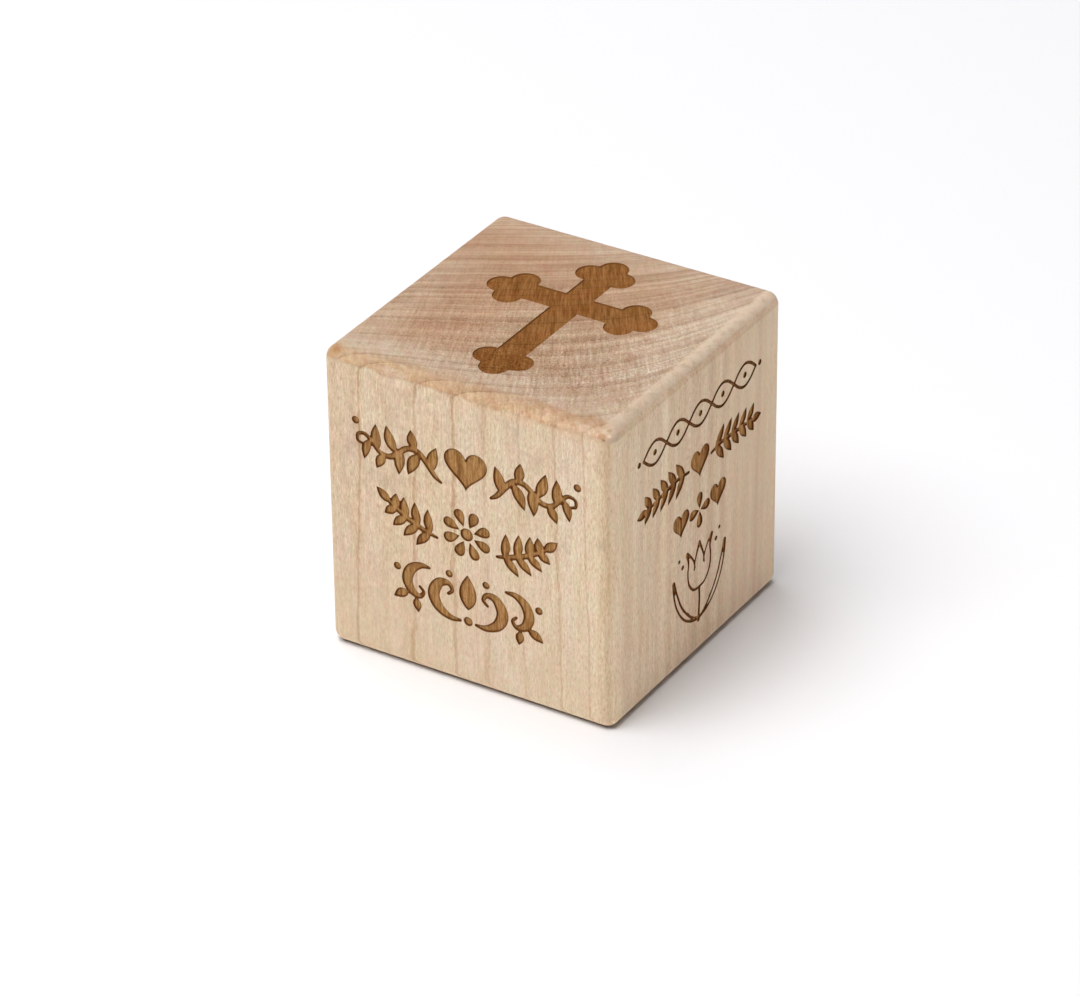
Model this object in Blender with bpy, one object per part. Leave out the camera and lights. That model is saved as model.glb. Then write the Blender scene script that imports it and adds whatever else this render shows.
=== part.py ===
"""Wooden keepsake block: one solid, softly rounded hardwood block.

A budded cross is engraved in the top, which is end grain, and ornament is
engraved in the front (-Y) and right (+X) sides.  The block stands on z = 0
with its origin at the centre of its base.
"""
import math

import bmesh
import bpy
from mathutils import Matrix, Vector
from mathutils.geometry import delaunay_2d_cdt

# ------------------------------------------------------ driving dimensions
MM = 0.001
WIDTH = 49.5 * MM            # X, square in plan
DEPTH = 49.5 * MM            # Y
HEIGHT = 50.8 * MM           # Z, along the grain
EDGE_RADIUS = 2.0 * MM       # every edge and corner is rounded to this
EDGE_SEGMENTS = 6
ENGRAVE_DEPTH = 0.2 * MM     # every engraving is this deep

# budded cross on the top, in millimetres
CROSS_CENTRE_V = 5.0         # from the block's centre towards the back
CROSS_BAR = 4.74             # width of both bars
CROSS_SHORT_ARM = 14.42      # left, right and head
CROSS_LONG_ARM = 23.90       # foot
BUD_RADIUS = 2.30            # each of the three buds that end an arm
BUD_SIDE = 2.55              # side buds, off the bar's centre line
BUD_STEP = 2.50              # side buds, back from the end bud

# heights of the ornament rows above the base, in millimetres
FRONT_ROWS = (37.0, 26.4, 14.9)
RIGHT_ROWS = (41.8, 33.4, 25.3, 13.2)
RIGHT_SHIFT = 0.4            # the right side's design sits slightly off centre

BLOCK_COLOUR = (0.62, 0.42, 0.27, 1.0)
BLOCK_ROUGHNESS = 0.55


# --------------------------------------------- outlines, u right and v up
def smooth(points, per):
    """Points of a Catmull-Rom spline through the given ones."""
    out = []
    n = len(points)
    for i in range(n - 1):
        p0, p1 = points[max(i - 1, 0)], points[i]
        p2, p3 = points[i + 1], points[min(i + 2, n - 1)]
        for k in range(per):
            t = k / per
            out.append(tuple(
                0.5 * (2 * b + (c - a) * t + (2 * a - 5 * b + 4 * c - d) * t * t
                       + (3 * b - a - 3 * c + d) * t ** 3)
                for a, b, c, d in zip(p0, p1, p2, p3)))
    out.append(tuple(points[-1]))
    return out


def stroke(points, per=2, cap=2):
    """A brush stroke with round ends, through (u, v, width) points."""
    line = smooth(points, per)
    left, right = [], []
    for i, (u, v, w) in enumerate(line):
        a, b = line[max(i - 1, 0)], line[min(i + 1, len(line) - 1)]
        du, dv = b[0] - a[0], b[1] - a[1]
        d = math.hypot(du, dv)
        nu, nv = -dv / d, du / d
        left.append((u + nu * w / 2, v + nv * w / 2))
        right.append((u - nu * w / 2, v - nv * w / 2))

    def round_end(centre, start):
        return [(centre[0] + centre[2] / 2 * math.cos(start - math.pi * k / cap),
                 centre[1] + centre[2] / 2 * math.sin(start - math.pi * k / cap))
                for k in range(1, cap)]

    last = math.atan2(left[-1][1] - line[-1][1], left[-1][0] - line[-1][0])
    first = math.atan2(right[0][1] - line[0][1], right[0][0] - line[0][0])
    return left + round_end(line[-1], last) + right[::-1] + round_end(line[0], first)


def leaf(base, angle, length, width, bend=0.0, n=5):
    """A pointed leaf from its base along angle in degrees, bent sideways."""
    du, dv = math.cos(math.radians(angle)), math.sin(math.radians(angle))

    def edge(t, side):
        off = (bend * 4 * t * (1 - t)
               + side * 0.5 * width * math.sin(math.pi * t ** 0.85) ** 0.9)
        return (base[0] + du * length * t - dv * off,
                base[1] + dv * length * t + du * off)

    steps = [k / n for k in range(n + 1)]
    return [edge(t, 1) for t in steps] + [edge(t, -1) for t in steps[-2:0:-1]]


def drop(base, angle, length, width, n=12):
    """A drop, pointed at its base and round at its far end."""
    du, dv = math.cos(math.radians(angle)), math.sin(math.radians(angle))
    out = []
    for k in range(n):
        t = 2 * math.pi * k / n
        along = 0.5 * length * (1 - math.cos(t))
        off = 0.59 * width * math.sin(t) * abs(math.sin(t / 2)) ** 1.2
        out.append((base[0] + du * along + dv * off,
                    base[1] + dv * along - du * off))
    return out[::-1]


def heart(u, v, width, n=24):
    """A heart from the usual sine and cosine curve, centred on (u, v)."""
    k = width / 32.0
    out = []
    for i in range(n):
        t = -2 * math.pi * i / n
        y = (13 * math.cos(t) - 5 * math.cos(2 * t)
             - 2 * math.cos(3 * t) - math.cos(4 * t))
        out.append((u + k * 16 * math.sin(t) ** 3, v + k * (y + 2.5)))
    return out


def disc(u, v, r, n=12):
    return [(u + r * math.cos(2 * math.pi * i / n),
             v + r * math.sin(2 * math.pi * i / n)) for i in range(n)]


def box(u0, v0, u1, v1):
    return [(u0, v0), (u1, v0), (u1, v1), (u0, v1)]


def mirrored(shapes):
    return [[(-u, v) for u, v in s][::-1] for s in shapes]


def shifted(shapes, du, dv):
    return [[(u + du, v + dv) for u, v in s] for s in shapes]


def anticlockwise(shape):
    """The same outline, running anticlockwise."""
    area = sum(a[0] * b[1] - b[0] * a[1] for a, b in zip(shape, shape[1:] + shape[:1]))
    return shape if area > 0 else shape[::-1]


# ------------------------------------------------------------- the designs
def budded_cross():
    """Two crossing bars, each arm ending in three round buds."""
    c, half = CROSS_CENTRE_V, CROSS_BAR / 2
    short, long = CROSS_SHORT_ARM - BUD_RADIUS, CROSS_LONG_ARM - BUD_RADIUS
    shapes = [box(-half, c - long, half, c + short),
              box(-short, c - half, short, c + half)]
    for du, dv, tip in ((0, 1, short), (0, -1, long), (1, 0, short), (-1, 0, short)):
        side = tip - BUD_STEP
        shapes.append(disc(du * tip, c + dv * tip, BUD_RADIUS, 28))
        for s in (-1, 1):
            shapes.append(disc(du * side + dv * s * BUD_SIDE,
                               c + dv * side + du * s * BUD_SIDE, BUD_RADIUS, 28))
    return shapes


def vine_row():
    """A heart with a leafy vine that runs out to each side."""
    half = [
        stroke([(4.3, -3.0, .45), (5.4, -2.2, .85), (6.7, -.5, 1.05), (8.2, .95, 1.0),
                (10.0, 1.0, .95), (11.6, -.2, 1.0), (13.1, -1.3, .95), (14.8, -1.1, .85),
                (16.2, .3, .75), (17.4, 1.3, .65), (18.6, 1.0, .55), (18.7, -.1, .5),
                (17.9, -.4, .42)]),
        leaf((5.9, -1.6), 102, 4.3, 1.9, -.25),
        leaf((7.9, .6), -62, 4.5, 1.95, .25),
        leaf((8.7, 1.1), 78, 3.3, 1.75, -.2),
        leaf((11.0, .4), -82, 4.3, 1.85, .2),
        leaf((12.1, -.5), 70, 4.6, 1.9, -.25),
        leaf((14.0, -1.3), -60, 3.0, 1.6, .15),
        leaf((15.2, -.8), 86, 4.3, 1.75, -.2),
        leaf((16.6, .6), -74, 3.7, 1.5, .2),
        disc(19.0, 3.2, .62),
    ]
    return [heart(0, .1, 7.4, 30)] + half + mirrored(half)


def sprig_row():
    """A rosette of eight petals between two leafy sprigs."""
    shapes = [disc(0, 0, 1.05, 16)]
    for k in range(8):
        a = 45 * k + 22.5
        r = math.radians(a)
        shapes.append(drop((1.35 * math.cos(r), 1.35 * math.sin(r)), a, 2.9, 2.0, 12))
    half = [stroke([(5.2, -2.1, .45), (7.8, -1.4, .9), (10.5, -.3, .9),
                    (13.0, 1.2, .7), (13.8, 1.9, .5)]),
            leaf((13.3, 1.4), 42, 3.1, 1.6)]
    for u, v, up, down, length in ((6.3, -1.85, 84, -46, 4.1), (8.4, -1.2, 82, -42, 4.0),
                                   (10.4, -.4, 82, -38, 3.5), (12.2, .6, 90, -30, 2.7)):
        half.append(leaf((u, v), up, length, 1.6, -.2))
        half.append(leaf((u, v), down, length * .9, 1.5, .2))
    return shapes + half + mirrored(half)


def scroll_row():
    """A bud between two pairs of brush-drawn scrolls."""
    half = [
        stroke([(1.4, -3.7, .5), (3.2, -3.7, 1.1), (5.2, -2.5, 1.8), (6.0, -.4, 2.05),
                (5.0, 1.7, 1.6), (3.4, 2.1, .95), (2.7, 1.1, .65), (3.4, .3, .5)]),
        stroke([(6.7, 3.7, .5), (8.3, 3.6, 1.1), (9.9, 2.5, 1.7), (10.6, .6, 1.85),
                (9.9, -1.2, 1.5), (8.5, -1.8, .9), (7.75, -.9, .6), (8.4, -.1, .45)]),
        leaf((10.4, -1.6), -30, 3.0, 1.6, .15),
        leaf((9.1, -2.3), -98, 2.4, 1.45),
        disc(12.3, 2.3, .62),
        disc(3.2, 3.8, .6),
    ]
    return [leaf((0, -1.5), 90, 6.0, 3.0, 0, 8), disc(0, -3.5, .75)] + half + mirrored(half)


def plait_row():
    """Two fine strands that cross four times, with a dot in each eye."""
    eyes, length, rise, line = 5, 32.6, 1.9, .46
    steps = 4 * eyes
    shapes = []
    for sign in (1, -1):
        shapes.append(stroke([(length * (k / steps - .5),
                               sign * rise * math.sin(math.pi * eyes * k / steps), line)
                              for k in range(steps + 1)], 2, 3))
    shapes += [disc(length * ((k + .5) / eyes - .5), 0, .48) for k in range(eyes)]
    return shapes + [disc(s * (length / 2 + 1.2), 0, .46) for s in (-1, 1)]


def garland_row():
    """A leafy garland that runs out to each side of a small heart."""
    half = [stroke([(3.3, 0, .5), (6.5, .35, .66), (11, 0, .66), (15.6, -.45, .45)], 3)]
    for k in range(5):
        u = 4.5 + 2.35 * k
        v = .25 * math.sin(u / 4)
        for side in (1, -1):
            half.append(leaf((u, v), 50 * side, 3.9 - .2 * k, 1.5, -.2 * side))
    half.append(leaf((15.2, -.4), -4, 2.9, 1.5))
    return [heart(0, 0, 5.4)] + half + mirrored(half)


def heart_row():
    """Four drops set crosswise, between two hearts."""
    half = [heart(5.4, 0, 4.7)]
    drops = [drop((.24 * math.cos(math.radians(a)), .24 * math.sin(math.radians(a))),
                  a, 2.75, 1.85) for a in (0, 90, 180, 270)]
    return drops + half + mirrored(half)


def tulip():
    """A tulip with two leaves, drawn in fine line with bolder tips."""
    half = [
        stroke([(0, -1.3, .42), (1.7, -.95, .42), (3.0, .6, .40), (3.35, 2.6, .36),
                (3.15, 4.4, .42), (3.6, 6.1, .8)], 3, 3),
        stroke([(3.6, 6.1, .8), (2.6, 5.3, .42), (1.7, 4.1, .34), (1.25, 2.7, .30)], 3, 3),
        stroke([(.15, -6.6, .45), (1.7, -5.9, .42), (3.6, -4.2, .38), (5.3, -1.9, .34),
                (6.6, .9, .42), (7.5, 3.0, .85)], 3, 3),
        stroke([(7.5, 3.0, .85), (7.35, .6, .42), (6.4, -2.1, .36), (4.6, -4.6, .36),
                (2.4, -6.1, .42), (.2, -6.7, .45)], 3, 3),
        stroke([(3.0, -4.6, .28), (4.6, -3.1, .3), (5.9, -1.0, .26)], 3, 2),
    ]
    middle = [
        stroke([(-1.45, 2.4, .3), (-1.15, 4.1, .36), (0, 6.5, .62)], 3, 3),
        stroke([(1.45, 2.4, .3), (1.15, 4.1, .36), (0, 6.5, .62)], 3, 3),
        stroke([(0, -1.3, .55), (.1, -3.2, .46), (0, -5.2, .5), (-.1, -7.0, .7)], 2, 3),
    ]
    dots = [disc(4.9, 4.6, .38), disc(5.9, 6.1, .30)]
    return half + mirrored(half) + middle + dots + mirrored(dots)


def front_design():
    shapes = []
    for row, height in zip((vine_row, sprig_row, scroll_row), FRONT_ROWS):
        shapes += shifted(row(), 0, height)
    return shapes


def right_design():
    shapes = []
    for row, height in zip((plait_row, garland_row, heart_row, tulip), RIGHT_ROWS):
        shapes += shifted(row(), RIGHT_SHIFT, height)
    return shapes


# ------------------------------------------------------------------ solids
def engraving_cutter(name, shapes, face):
    """One closed solid of all the shapes, standing across a face's surface.

    The overlapping outlines are merged in the plane, then extruded.  face
    turns (u, v, w) in metres, with w out of the surface, into world space.
    """
    verts, loops = [], []
    for shape in map(anticlockwise, shapes):
        loops.append(list(range(len(verts), len(verts) + len(shape))))
        verts += [Vector((u, v)) for u, v in shape]
    points, _, tris, _, _, sources = delaunay_2d_cdt(verts, [], loops, 0, 1e-4, True)
    mesh = bpy.data.meshes.new(name)
    bm = bmesh.new()
    corners = [bm.verts.new((p.x * MM, p.y * MM, ENGRAVE_DEPTH)) for p in points]
    for tri, owners in zip(tris, sources):
        if owners:
            bm.faces.new([corners[i] for i in tri])
    bmesh.ops.delete(bm, geom=[v for v in bm.verts if not v.link_faces], context='VERTS')
    inner = [e for e in bm.edges if len(e.link_faces) == 2]
    bmesh.ops.dissolve_edges(bm, edges=inner, use_verts=False)
    lid = bm.faces[:]
    base = bmesh.ops.extrude_face_region(bm, geom=lid, use_keep_orig=True)
    moved = [g for g in base["geom"] if isinstance(g, bmesh.types.BMVert)]
    bmesh.ops.translate(bm, verts=moved, vec=(0, 0, -2 * ENGRAVE_DEPTH))
    bmesh.ops.triangulate(bm, faces=[f for f in bm.faces if len(f.verts) > 4])
    bmesh.ops.recalc_face_normals(bm, faces=bm.faces[:])
    bm.transform(face)
    bm.to_mesh(mesh)
    bm.free()
    cutter = bpy.data.objects.new(name, mesh)
    cutter.hide_render = True
    cutter.display_type = 'WIRE'
    bpy.context.scene.collection.objects.link(cutter)
    return cutter


def rounded_block(name):
    """The blank: a box on z = 0, its edges rounded by a Bevel modifier."""
    mesh = bpy.data.meshes.new(name)
    bm = bmesh.new()
    bmesh.ops.create_cube(bm, size=1.0)
    bmesh.ops.scale(bm, vec=(WIDTH, DEPTH, HEIGHT), verts=bm.verts[:])
    bmesh.ops.translate(bm, vec=(0, 0, HEIGHT / 2), verts=bm.verts[:])
    bm.to_mesh(mesh)
    bm.free()
    block = bpy.data.objects.new(name, mesh)
    bpy.context.scene.collection.objects.link(block)
    bevel = block.modifiers.new("rounded_edges", 'BEVEL')
    bevel.width = EDGE_RADIUS
    bevel.segments = EDGE_SEGMENTS
    bevel.limit_method = 'NONE'
    return block


def wood(name):
    material = bpy.data.materials.new(name)
    material.use_nodes = True
    shader = material.node_tree.nodes["Principled BSDF"]
    shader.inputs["Base Color"].default_value = BLOCK_COLOUR
    shader.inputs["Roughness"].default_value = BLOCK_ROUGHNESS
    shader.inputs["Metallic"].default_value = 0.0
    material.diffuse_color = BLOCK_COLOUR
    return material


def build():
    for old in list(bpy.data.objects):
        bpy.data.objects.remove(old, do_unlink=True)

    block = rounded_block("block")
    block.data.materials.append(wood("maple"))

    # columns: where u, v and the outward direction w of each face point
    top = Matrix(((1, 0, 0, 0), (0, 1, 0, 0), (0, 0, 1, HEIGHT), (0, 0, 0, 1)))
    front = Matrix(((1, 0, 0, 0), (0, 0, -1, -DEPTH / 2), (0, 1, 0, 0), (0, 0, 0, 1)))
    right = Matrix(((0, 0, 1, WIDTH / 2), (1, 0, 0, 0), (0, 1, 0, 0), (0, 0, 0, 1)))
    for name, shapes, face in (("cross_cutter", budded_cross(), top),
                               ("front_cutter", front_design(), front),
                               ("right_cutter", right_design(), right)):
        cut = block.modifiers.new(name, 'BOOLEAN')
        cut.operation = 'DIFFERENCE'
        cut.solver = 'EXACT'
        cut.object = engraving_cutter(name, shapes, face)


build()
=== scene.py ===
"""Looks of a wooden keepsake block: fine mesh, solid maple material, studio."""
import math

import bmesh
import bpy
import numpy as np
from mathutils import Matrix, Vector
from mathutils.geometry import delaunay_2d_cdt
from mathutils.kdtree import KDTree


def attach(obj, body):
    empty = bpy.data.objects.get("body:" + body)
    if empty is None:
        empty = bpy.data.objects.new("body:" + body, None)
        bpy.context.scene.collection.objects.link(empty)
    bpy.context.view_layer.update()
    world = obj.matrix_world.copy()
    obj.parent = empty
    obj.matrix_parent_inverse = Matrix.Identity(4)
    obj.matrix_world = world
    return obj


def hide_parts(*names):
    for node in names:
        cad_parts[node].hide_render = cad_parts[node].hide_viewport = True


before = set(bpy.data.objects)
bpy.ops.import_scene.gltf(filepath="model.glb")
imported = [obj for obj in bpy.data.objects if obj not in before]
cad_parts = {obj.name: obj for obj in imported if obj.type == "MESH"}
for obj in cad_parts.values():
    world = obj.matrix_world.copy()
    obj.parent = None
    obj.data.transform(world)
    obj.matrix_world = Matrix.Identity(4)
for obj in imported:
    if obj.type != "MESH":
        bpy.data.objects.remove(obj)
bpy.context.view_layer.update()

# ------------------------------------------------------------- dimensions
MM = 0.001
HALF = 24.75                 # mm, half the width and half the depth
HEIGHT = 50.8                # mm, along the grain
ROUND = 2.0                  # mm, edge radius
DEPTH = 0.2                  # mm, engraving

CROSS_CENTRE_V = 5.0
CROSS_BAR = 4.74
CROSS_SHORT_ARM = 14.42
CROSS_LONG_ARM = 23.90
BUD_RADIUS = 2.30
BUD_SIDE = 2.55
BUD_STEP = 2.50
FRONT_ROWS = (37.0, 26.4, 14.9)
RIGHT_ROWS = (41.8, 33.4, 25.3, 13.2)
RIGHT_SHIFT = 0.4
Q = 3                        # points along curves, times the solid's own


# --------------------------------------------- outlines, u right and v up
def smooth(points, per):
    """Points of a Catmull-Rom spline through the given ones."""
    out = []
    n = len(points)
    for i in range(n - 1):
        p0, p1 = points[max(i - 1, 0)], points[i]
        p2, p3 = points[i + 1], points[min(i + 2, n - 1)]
        for k in range(per):
            t = k / per
            out.append(tuple(
                0.5 * (2 * b + (c - a) * t + (2 * a - 5 * b + 4 * c - d) * t * t
                       + (3 * b - a - 3 * c + d) * t ** 3)
                for a, b, c, d in zip(p0, p1, p2, p3)))
    out.append(tuple(points[-1]))
    return out


def stroke(points, per=2, cap=2):
    """A brush stroke with round ends, through (u, v, width) points."""
    per, cap = per * Q, cap * Q
    line = smooth(points, per)
    left, right = [], []
    for i, (u, v, w) in enumerate(line):
        a, b = line[max(i - 1, 0)], line[min(i + 1, len(line) - 1)]
        du, dv = b[0] - a[0], b[1] - a[1]
        d = math.hypot(du, dv)
        nu, nv = -dv / d, du / d
        left.append((u + nu * w / 2, v + nv * w / 2))
        right.append((u - nu * w / 2, v - nv * w / 2))

    def round_end(centre, start):
        return [(centre[0] + centre[2] / 2 * math.cos(start - math.pi * k / cap),
                 centre[1] + centre[2] / 2 * math.sin(start - math.pi * k / cap))
                for k in range(1, cap)]

    last = math.atan2(left[-1][1] - line[-1][1], left[-1][0] - line[-1][0])
    first = math.atan2(right[0][1] - line[0][1], right[0][0] - line[0][0])
    return left + round_end(line[-1], last) + right[::-1] + round_end(line[0], first)


def leaf(base, angle, length, width, bend=0.0, n=5):
    """A pointed leaf from its base along angle in degrees, bent sideways."""
    n *= Q
    du, dv = math.cos(math.radians(angle)), math.sin(math.radians(angle))

    def edge(t, side):
        off = (bend * 4 * t * (1 - t)
               + side * 0.5 * width * math.sin(math.pi * t ** 0.85) ** 0.9)
        return (base[0] + du * length * t - dv * off,
                base[1] + dv * length * t + du * off)

    steps = [k / n for k in range(n + 1)]
    return [edge(t, 1) for t in steps] + [edge(t, -1) for t in steps[-2:0:-1]]


def drop(base, angle, length, width, n=12):
    """A drop, pointed at its base and round at its far end."""
    n *= Q
    du, dv = math.cos(math.radians(angle)), math.sin(math.radians(angle))
    out = []
    for k in range(n):
        t = 2 * math.pi * k / n
        along = 0.5 * length * (1 - math.cos(t))
        off = 0.59 * width * math.sin(t) * abs(math.sin(t / 2)) ** 1.2
        out.append((base[0] + du * along + dv * off,
                    base[1] + dv * along - du * off))
    return out[::-1]


def heart(u, v, width, n=24):
    """A heart from the usual sine and cosine curve, centred on (u, v)."""
    n *= Q
    k = width / 32.0
    out = []
    for i in range(n):
        t = -2 * math.pi * i / n
        y = (13 * math.cos(t) - 5 * math.cos(2 * t)
             - 2 * math.cos(3 * t) - math.cos(4 * t))
        out.append((u + k * 16 * math.sin(t) ** 3, v + k * (y + 2.5)))
    return out


def disc(u, v, r, n=12):
    n *= Q
    return [(u + r * math.cos(2 * math.pi * i / n),
             v + r * math.sin(2 * math.pi * i / n)) for i in range(n)]


def box(u0, v0, u1, v1):
    return [(u0, v0), (u1, v0), (u1, v1), (u0, v1)]


def mirrored(shapes):
    return [[(-u, v) for u, v in s][::-1] for s in shapes]


def shifted(shapes, du, dv):
    return [[(u + du, v + dv) for u, v in s] for s in shapes]


def anticlockwise(shape):
    area = sum(a[0] * b[1] - b[0] * a[1] for a, b in zip(shape, shape[1:] + shape[:1]))
    return shape if area > 0 else shape[::-1]


# ------------------------------------------------------------- the designs
def budded_cross():
    """Two crossing bars, each arm ending in three round buds."""
    c, half = CROSS_CENTRE_V, CROSS_BAR / 2
    short, long = CROSS_SHORT_ARM - BUD_RADIUS, CROSS_LONG_ARM - BUD_RADIUS
    shapes = [box(-half, c - long, half, c + short),
              box(-short, c - half, short, c + half)]
    for du, dv, tip in ((0, 1, short), (0, -1, long), (1, 0, short), (-1, 0, short)):
        side = tip - BUD_STEP
        shapes.append(disc(du * tip, c + dv * tip, BUD_RADIUS, 28))
        for s in (-1, 1):
            shapes.append(disc(du * side + dv * s * BUD_SIDE,
                               c + dv * side + du * s * BUD_SIDE, BUD_RADIUS, 28))
    return shapes


def vine_row():
    """A heart with a leafy vine that runs out to each side."""
    half = [
        stroke([(4.3, -3.0, .45), (5.4, -2.2, .85), (6.7, -.5, 1.05), (8.2, .95, 1.0),
                (10.0, 1.0, .95), (11.6, -.2, 1.0), (13.1, -1.3, .95), (14.8, -1.1, .85),
                (16.2, .3, .75), (17.4, 1.3, .65), (18.6, 1.0, .55), (18.7, -.1, .5),
                (17.9, -.4, .42)]),
        leaf((5.9, -1.6), 102, 4.3, 1.9, -.25),
        leaf((7.9, .6), -62, 4.5, 1.95, .25),
        leaf((8.7, 1.1), 78, 3.3, 1.75, -.2),
        leaf((11.0, .4), -82, 4.3, 1.85, .2),
        leaf((12.1, -.5), 70, 4.6, 1.9, -.25),
        leaf((14.0, -1.3), -60, 3.0, 1.6, .15),
        leaf((15.2, -.8), 86, 4.3, 1.75, -.2),
        leaf((16.6, .6), -74, 3.7, 1.5, .2),
        disc(19.0, 3.2, .62),
    ]
    return [heart(0, .1, 7.4, 30)] + half + mirrored(half)


def sprig_row():
    """A rosette of eight petals between two leafy sprigs."""
    shapes = [disc(0, 0, 1.05, 16)]
    for k in range(8):
        a = 45 * k + 22.5
        r = math.radians(a)
        shapes.append(drop((1.35 * math.cos(r), 1.35 * math.sin(r)), a, 2.9, 2.0, 12))
    half = [stroke([(5.2, -2.1, .45), (7.8, -1.4, .9), (10.5, -.3, .9),
                    (13.0, 1.2, .7), (13.8, 1.9, .5)]),
            leaf((13.3, 1.4), 42, 3.1, 1.6)]
    for u, v, up, down, length in ((6.3, -1.85, 84, -46, 4.1), (8.4, -1.2, 82, -42, 4.0),
                                   (10.4, -.4, 82, -38, 3.5), (12.2, .6, 90, -30, 2.7)):
        half.append(leaf((u, v), up, length, 1.6, -.2))
        half.append(leaf((u, v), down, length * .9, 1.5, .2))
    return shapes + half + mirrored(half)


def scroll_row():
    """A bud between two pairs of brush-drawn scrolls."""
    half = [
        stroke([(1.4, -3.7, .5), (3.2, -3.7, 1.1), (5.2, -2.5, 1.8), (6.0, -.4, 2.05),
                (5.0, 1.7, 1.6), (3.4, 2.1, .95), (2.7, 1.1, .65), (3.4, .3, .5)]),
        stroke([(6.7, 3.7, .5), (8.3, 3.6, 1.1), (9.9, 2.5, 1.7), (10.6, .6, 1.85),
                (9.9, -1.2, 1.5), (8.5, -1.8, .9), (7.75, -.9, .6), (8.4, -.1, .45)]),
        leaf((10.4, -1.6), -30, 3.0, 1.6, .15),
        leaf((9.1, -2.3), -98, 2.4, 1.45),
        disc(12.3, 2.3, .62),
        disc(3.2, 3.8, .6),
    ]
    return [leaf((0, -1.5), 90, 6.0, 3.0, 0, 8), disc(0, -3.5, .75)] + half + mirrored(half)


def plait_row():
    """Two fine strands that cross four times, with a dot in each eye."""
    eyes, length, rise, line = 5, 32.6, 1.9, .46
    steps = 4 * eyes
    shapes = []
    for sign in (1, -1):
        shapes.append(stroke([(length * (k / steps - .5),
                               sign * rise * math.sin(math.pi * eyes * k / steps), line)
                              for k in range(steps + 1)], 2, 3))
    shapes += [disc(length * ((k + .5) / eyes - .5), 0, .48) for k in range(eyes)]
    return shapes + [disc(s * (length / 2 + 1.2), 0, .46) for s in (-1, 1)]


def garland_row():
    """A leafy garland that runs out to each side of a small heart."""
    half = [stroke([(3.3, 0, .5), (6.5, .35, .66), (11, 0, .66), (15.6, -.45, .45)], 3)]
    for k in range(5):
        u = 4.5 + 2.35 * k
        v = .25 * math.sin(u / 4)
        for side in (1, -1):
            half.append(leaf((u, v), 50 * side, 3.9 - .2 * k, 1.5, -.2 * side))
    half.append(leaf((15.2, -.4), -4, 2.9, 1.5))
    return [heart(0, 0, 5.4)] + half + mirrored(half)


def heart_row():
    """Four drops set crosswise, between two hearts."""
    half = [heart(5.4, 0, 4.7)]
    drops = [drop((.24 * math.cos(math.radians(a)), .24 * math.sin(math.radians(a))),
                  a, 2.75, 1.85) for a in (0, 90, 180, 270)]
    return drops + half + mirrored(half)


def tulip():
    """A tulip with two leaves, drawn in fine line with bolder tips."""
    half = [
        stroke([(0, -1.3, .42), (1.7, -.95, .42), (3.0, .6, .40), (3.35, 2.6, .36),
                (3.15, 4.4, .42), (3.6, 6.1, .8)], 3, 3),
        stroke([(3.6, 6.1, .8), (2.6, 5.3, .42), (1.7, 4.1, .34), (1.25, 2.7, .30)], 3, 3),
        stroke([(.15, -6.6, .45), (1.7, -5.9, .42), (3.6, -4.2, .38), (5.3, -1.9, .34),
                (6.6, .9, .42), (7.5, 3.0, .85)], 3, 3),
        stroke([(7.5, 3.0, .85), (7.35, .6, .42), (6.4, -2.1, .36), (4.6, -4.6, .36),
                (2.4, -6.1, .42), (.2, -6.7, .45)], 3, 3),
        stroke([(3.0, -4.6, .28), (4.6, -3.1, .3), (5.9, -1.0, .26)], 3, 2),
    ]
    middle = [
        stroke([(-1.45, 2.4, .3), (-1.15, 4.1, .36), (0, 6.5, .62)], 3, 3),
        stroke([(1.45, 2.4, .3), (1.15, 4.1, .36), (0, 6.5, .62)], 3, 3),
        stroke([(0, -1.3, .55), (.1, -3.2, .46), (0, -5.2, .5), (-.1, -7.0, .7)], 2, 3),
    ]
    dots = [disc(4.9, 4.6, .38), disc(5.9, 6.1, .30)]
    return half + mirrored(half) + middle + dots + mirrored(dots)


def front_design():
    shapes = []
    for row, height in zip((vine_row, sprig_row, scroll_row), FRONT_ROWS):
        shapes += shifted(row(), 0, height)
    return shapes


def right_design():
    shapes = []
    for row, height in zip((plait_row, garland_row, heart_row, tulip), RIGHT_ROWS):
        shapes += shifted(row(), RIGHT_SHIFT, height)
    return shapes


# --------------------------------------------------------- engraved faces
FAR = 0.8                    # mm, where the distance to an outline stops mattering


class Outline:
    """Finds how far a point is from the outlines, negative inside them."""

    def __init__(self, seg_a, seg_b, spacing=.02):
        e = seg_b - seg_a
        length = np.hypot(e[:, 0], e[:, 1])
        self.a, self.e, self.length = seg_a, e, np.maximum(length, 1e-9)
        counts = np.maximum(np.ceil(length / spacing).astype(int), 1)
        self.tree = KDTree(int(counts.sum()))
        self.owner = []
        for k, n in enumerate(counts):
            for m in range(n):
                p = seg_a[k] + e[k] * ((m + .5) / n)
                self.tree.insert((p[0], p[1], 0), len(self.owner))
                self.owner.append(k)
        self.tree.balance()

    def signed(self, points):
        out = np.empty(len(points))
        for i, (px, py) in enumerate(points):
            best = None
            for _, index, _ in self.tree.find_n((px, py, 0), 2):
                k = self.owner[index]
                (ax, ay), (ex, ey), length = self.a[k], self.e[k], self.length[k]
                t = min(max(((px - ax) * ex + (py - ay) * ey) / length ** 2, 0), 1)
                dx, dy = px - ax - t * ex, py - ay - t * ey
                d = math.hypot(dx, dy)
                left = (ex * dy - ey * dx) >= 0
                if best is None or d < abs(best) - 1e-9:
                    best = -d if left else d
            out[i] = best
        return out


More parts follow.
